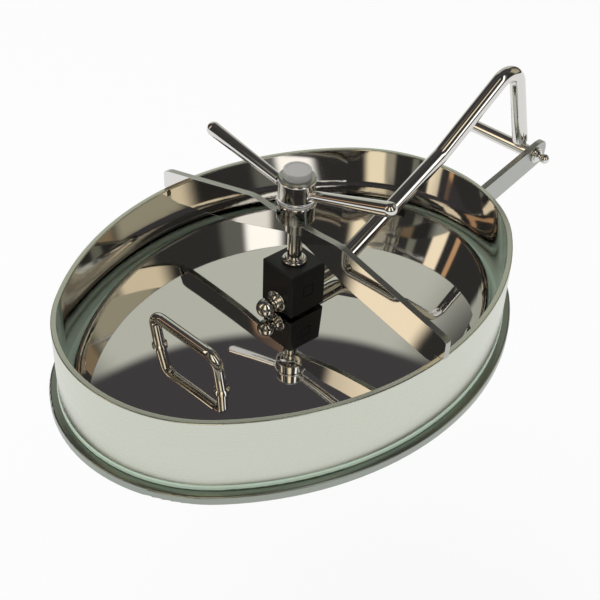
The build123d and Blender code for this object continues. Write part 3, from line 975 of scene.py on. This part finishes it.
# %% Welds between the plate and its tube
for label, x, y in (("a", 1, 1), ("b", -1, 1), ("c", 1, -1), ("d", -1, -1)):
    place = (x * (width + 0.2), y * (TUBE / 2 + 0.1))
    foot, top = (*place, tube_foot + 1.0), (*place, rim + 44.0)
    bead_line(f"bridge_weld_{label}", "bridge", foot, top, thickness=1.1)

# %% [markdown]
# ## Floor and room
# The object stands before plain white. The floor could be a bright emitter, but then the
# object would lose its shadow, so the floor is mostly glow and partly matt white: the
# matt share still darkens where the object shades it. Mirrored rays see the same floor.
#
# The open lid swings down into the tank, well below the ring. A floor right under the
# ring would hide it, so the floor lies just below the lowest place that the lid reaches.

# %% Floor
SWING, CLEAR_BELOW = radians(50), 0.06
FLOOR_SIZE, FLOOR_GLOW = 20.0, 0.82
lid_reach = (hinge_x - cad_box[0][0] / MM) * MM
floor_height = hinge_z * MM - lid_reach * sin(SWING) - CLEAR_BELOW
print("floor at", round(floor_height, 3))
floor_mesh = bmesh.new()
bmesh.ops.create_grid(floor_mesh, x_segments=1, y_segments=1, size=FLOOR_SIZE)
bmesh.ops.translate(floor_mesh, vec=(0, 0, floor_height), verts=floor_mesh.verts)
floor_data = bpy.data.meshes.new("floor")
floor_mesh.to_mesh(floor_data)
floor_mesh.free()
floor = bpy.data.objects.new("floor", floor_data)
bpy.context.scene.collection.objects.link(floor)
pale_floor, shader, at = new_material("pale_floor", Roughness=0.9, Base_Color=grey(0.9))
floor_data.materials.append(pale_floor)


def ray_kinds(wire):
    """Masks for the rays that come from the camera, from gloss and through glass."""
    names = ("Is Camera Ray", "Is Glossy Ray", "Is Transmission Ray")
    return [wire.node("ShaderNodeLightPath", output=name) for name in names]


camera_ray, glossy_ray, glass_ray = ray_kinds(at)
seen = camera_ray + glossy_ray + glass_ray
seen = seen.maths("MINIMUM", seen, 1.0)
glow = at.node("ShaderNodeEmission", inputs={"Color": grey(1.0), "Strength": 1.0})
matt = Wire(at.tree, shader.outputs[0])
mixed = at.node("ShaderNodeMixShader", inputs={0: seen * FLOOR_GLOW, 1: matt, 2: glow})
at.tree.links.new(mixed.socket, at.tree.nodes["Material Output"].inputs["Surface"])

# %% [markdown]
# ### What the steel mirrors
# A mirror-polished object is lit by its surroundings more than by lamps. In a white room
# it would be white all over and lose its form, so the steel mirrors a plain studio: a pale
# wall low down at the back, a dark ceiling above it, a dark side behind the camera, and a
# few cream light panels. Planes could stand for the panels, but they would also throw
# light and shadows. Here they are drawn in the world by heading and height, for mirrored
# rays only. The camera sees white, and matt surfaces get an even white light, so a colour
# renders about as it is written.

# %% Room
world = bpy.data.worlds.new("room")
bpy.context.scene.world = world
world.use_nodes = True
tree = world.node_tree
look = Wire(tree, tree.nodes.new("ShaderNodeTexCoord").outputs["Generated"])
east, north, height = look.axes()
heading = look.maths("ARCTAN2", north, east) * (180 / pi)
BACK = radians(43)
DARK_SIDE, PALE_WALL, CEILING = grey(0.045, 0.04), (0.60, 0.61, 0.53, 1), (0.066, 0.060, 0.064, 1)
towards_back = east * cos(BACK) + north * sin(BACK)
room = heading.band(50.0, 23.0, 12.0).blend(DARK_SIDE, PALE_WALL)
PANEL_EDGE = 0.08
PANELS = [
    # heading, half width, height, half height, softness, colour
    (-141.0, 7.0, 0.55, 0.30, 9.0, (1.55, 1.33, 0.94, 1)),
    (-156.0, 3.0, 0.50, 0.30, 5.0, (0.55, 0.50, 0.38, 1)),
    (175.0, 2.0, 0.55, 0.30, 3.0, (0.28, 0.28, 0.22, 1)),
    (151.0, 5.0, 0.55, 0.30, 3.0, (1.65, 1.40, 1.02, 1)),
    (133.0, 1.5, 0.55, 0.30, 2.0, (0.85, 0.50, 0.26, 1)),
    (-91.0, 5.0, 0.55, 0.30, 4.0, (1.95, 1.90, 1.80, 1)),
    (-79.0, 2.0, 0.50, 0.30, 4.0, (0.20, 0.20, 0.17, 1)),
    (-27.0, 13.0, 0.50, 0.35, 9.0, (0.50, 0.46, 0.33, 1)),
    (-2.0, 3.0, 0.50, 0.30, 4.0, (0.34, 0.25, 0.15, 1)),
]
for middle, wide, level, tall, soft, colour in PANELS:
    panel = heading.band(middle, wide, soft) * height.band(level, tall, PANEL_EDGE)
    room = panel.blend(room, colour)
ceiling = height.step(0.70, 0.73) * towards_back.step(-0.3, 0.1)
room = ceiling.blend(room, CEILING)
print(len(PANELS), "light panels")

# %% Who sees what
EVEN_LIGHT = 0.86
camera_ray, glossy_ray, _ = ray_kinds(look)
background = glossy_ray.blend(grey(EVEN_LIGHT), room)
background = camera_ray.blend(background, grey(1.0))
sky = tree.nodes["Background"]
tree.links.new(background.socket, sky.inputs["Color"])
sky.inputs["Strength"].default_value = 1.0
print("matt surfaces get a light of", EVEN_LIGHT)

# %% [markdown]
# ### One soft lamp
# Even light alone leaves the black block and the gasket without form. One large lamp
# overhead gives them a lit side and a soft shadow. It isn't mirrored, because the panels
# already are what the steel shows.

# %% Soft lamp
lamp_data = bpy.data.lights.new("soft_top", "AREA")
lamp_data.size = 2.0
lamp_data.energy = 14.0
lamp = bpy.data.objects.new("soft_top", lamp_data)
lamp.location = (-0.6, 0.9, 2.0)
lamp.rotation_euler = (Vector((0, 0, 0)) - lamp.location).to_track_quat("-Z", "Y").to_euler()
lamp.visible_glossy = False
bpy.context.scene.collection.objects.link(lamp)
print(lamp.name, lamp_data.energy, "watts")

# %% [markdown]
# ## Camera
# A long lens keeps the oval's two ends nearly the same size, as a catalogue view does. The
# camera looks from the front left, high enough to see down into the ring. Its direction is
# written as a heading, a height and a small roll, and the three axes of its matrix follow
# from those, which is easier to adjust than three Euler angles.

# %% Camera
camera = bpy.data.objects.new("camera", bpy.data.cameras.new("camera"))
bpy.context.scene.collection.objects.link(camera)
bpy.context.scene.camera = camera
camera.data.sensor_width = 36.0
camera.data.lens = 70.2
camera_place = Vector((-0.5758, -0.5474, rim * MM + 0.5914))
azimuth, elevation, roll = radians(-46.9), radians(38.4), radians(2.4)
back = Vector((sin(azimuth) * cos(elevation), -cos(azimuth) * cos(elevation), sin(elevation)))
level = Vector((cos(azimuth), sin(azimuth), 0))
upright = back.cross(level)
right = cos(roll) * level + sin(roll) * upright
up = -sin(roll) * level + cos(roll) * upright
turn_to_view = Matrix((right, up, back)).transposed().to_4x4()
camera.matrix_world = Matrix.Translation(camera_place) @ turn_to_view
bpy.context.scene.view_settings.view_transform = "Standard"
print("camera", round(camera_place.length, 3), "m from the origin")

# %% [markdown]
# ## Sizes
# The dressed model has to stay as large as the solids. The solids' box is printed.

# %% Print the solids' box
print("CAD box", cad_box)
